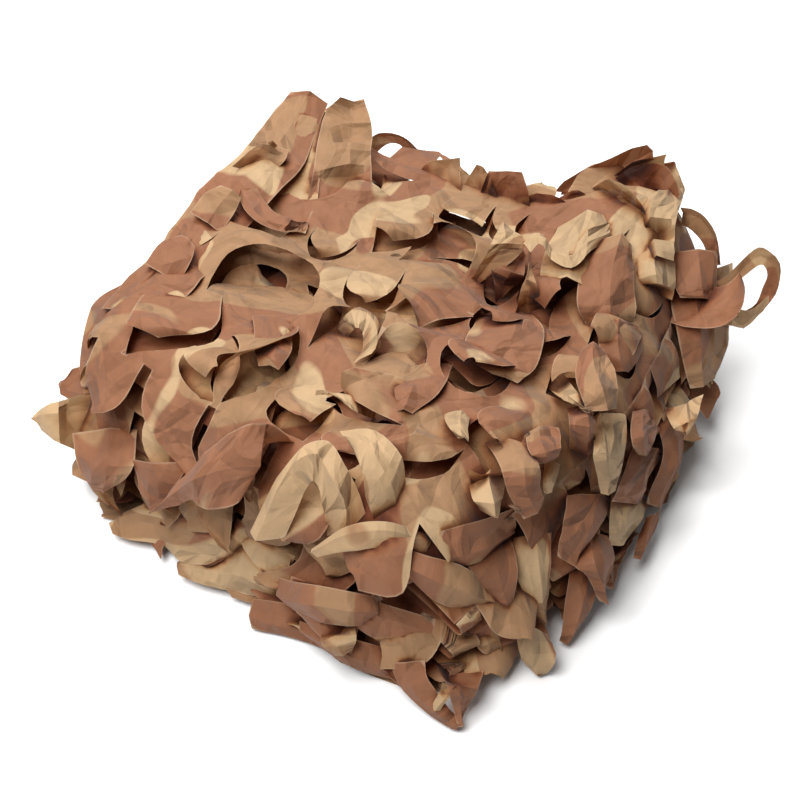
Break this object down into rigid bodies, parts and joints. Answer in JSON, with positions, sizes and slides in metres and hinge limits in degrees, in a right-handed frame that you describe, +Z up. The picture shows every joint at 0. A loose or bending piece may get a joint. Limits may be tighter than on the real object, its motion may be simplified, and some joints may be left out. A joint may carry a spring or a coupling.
{
  "type": "folded camouflage net",
  "caption": "Die-cut camouflage net of printed cloth, folded back and forth into a loose bundle, with leaf-shaped cuts that lift all over it.",
  "frame": {"origin": "on the floor, on the underside of the lowest pass, near the middle of the bundle", "axes": "+Z up; +X along the near long side from the left corner to the right one; +Y away from that side"},
  "size_m": [0.5117, 0.5272, 0.2043],
  "materials": {
    "net_cloth": "matt printed polyester, in brown, tan and sand patches"
  },
  "bodies": {
    "root": {"net": "net_cloth"}
  },
  "joints": []
}
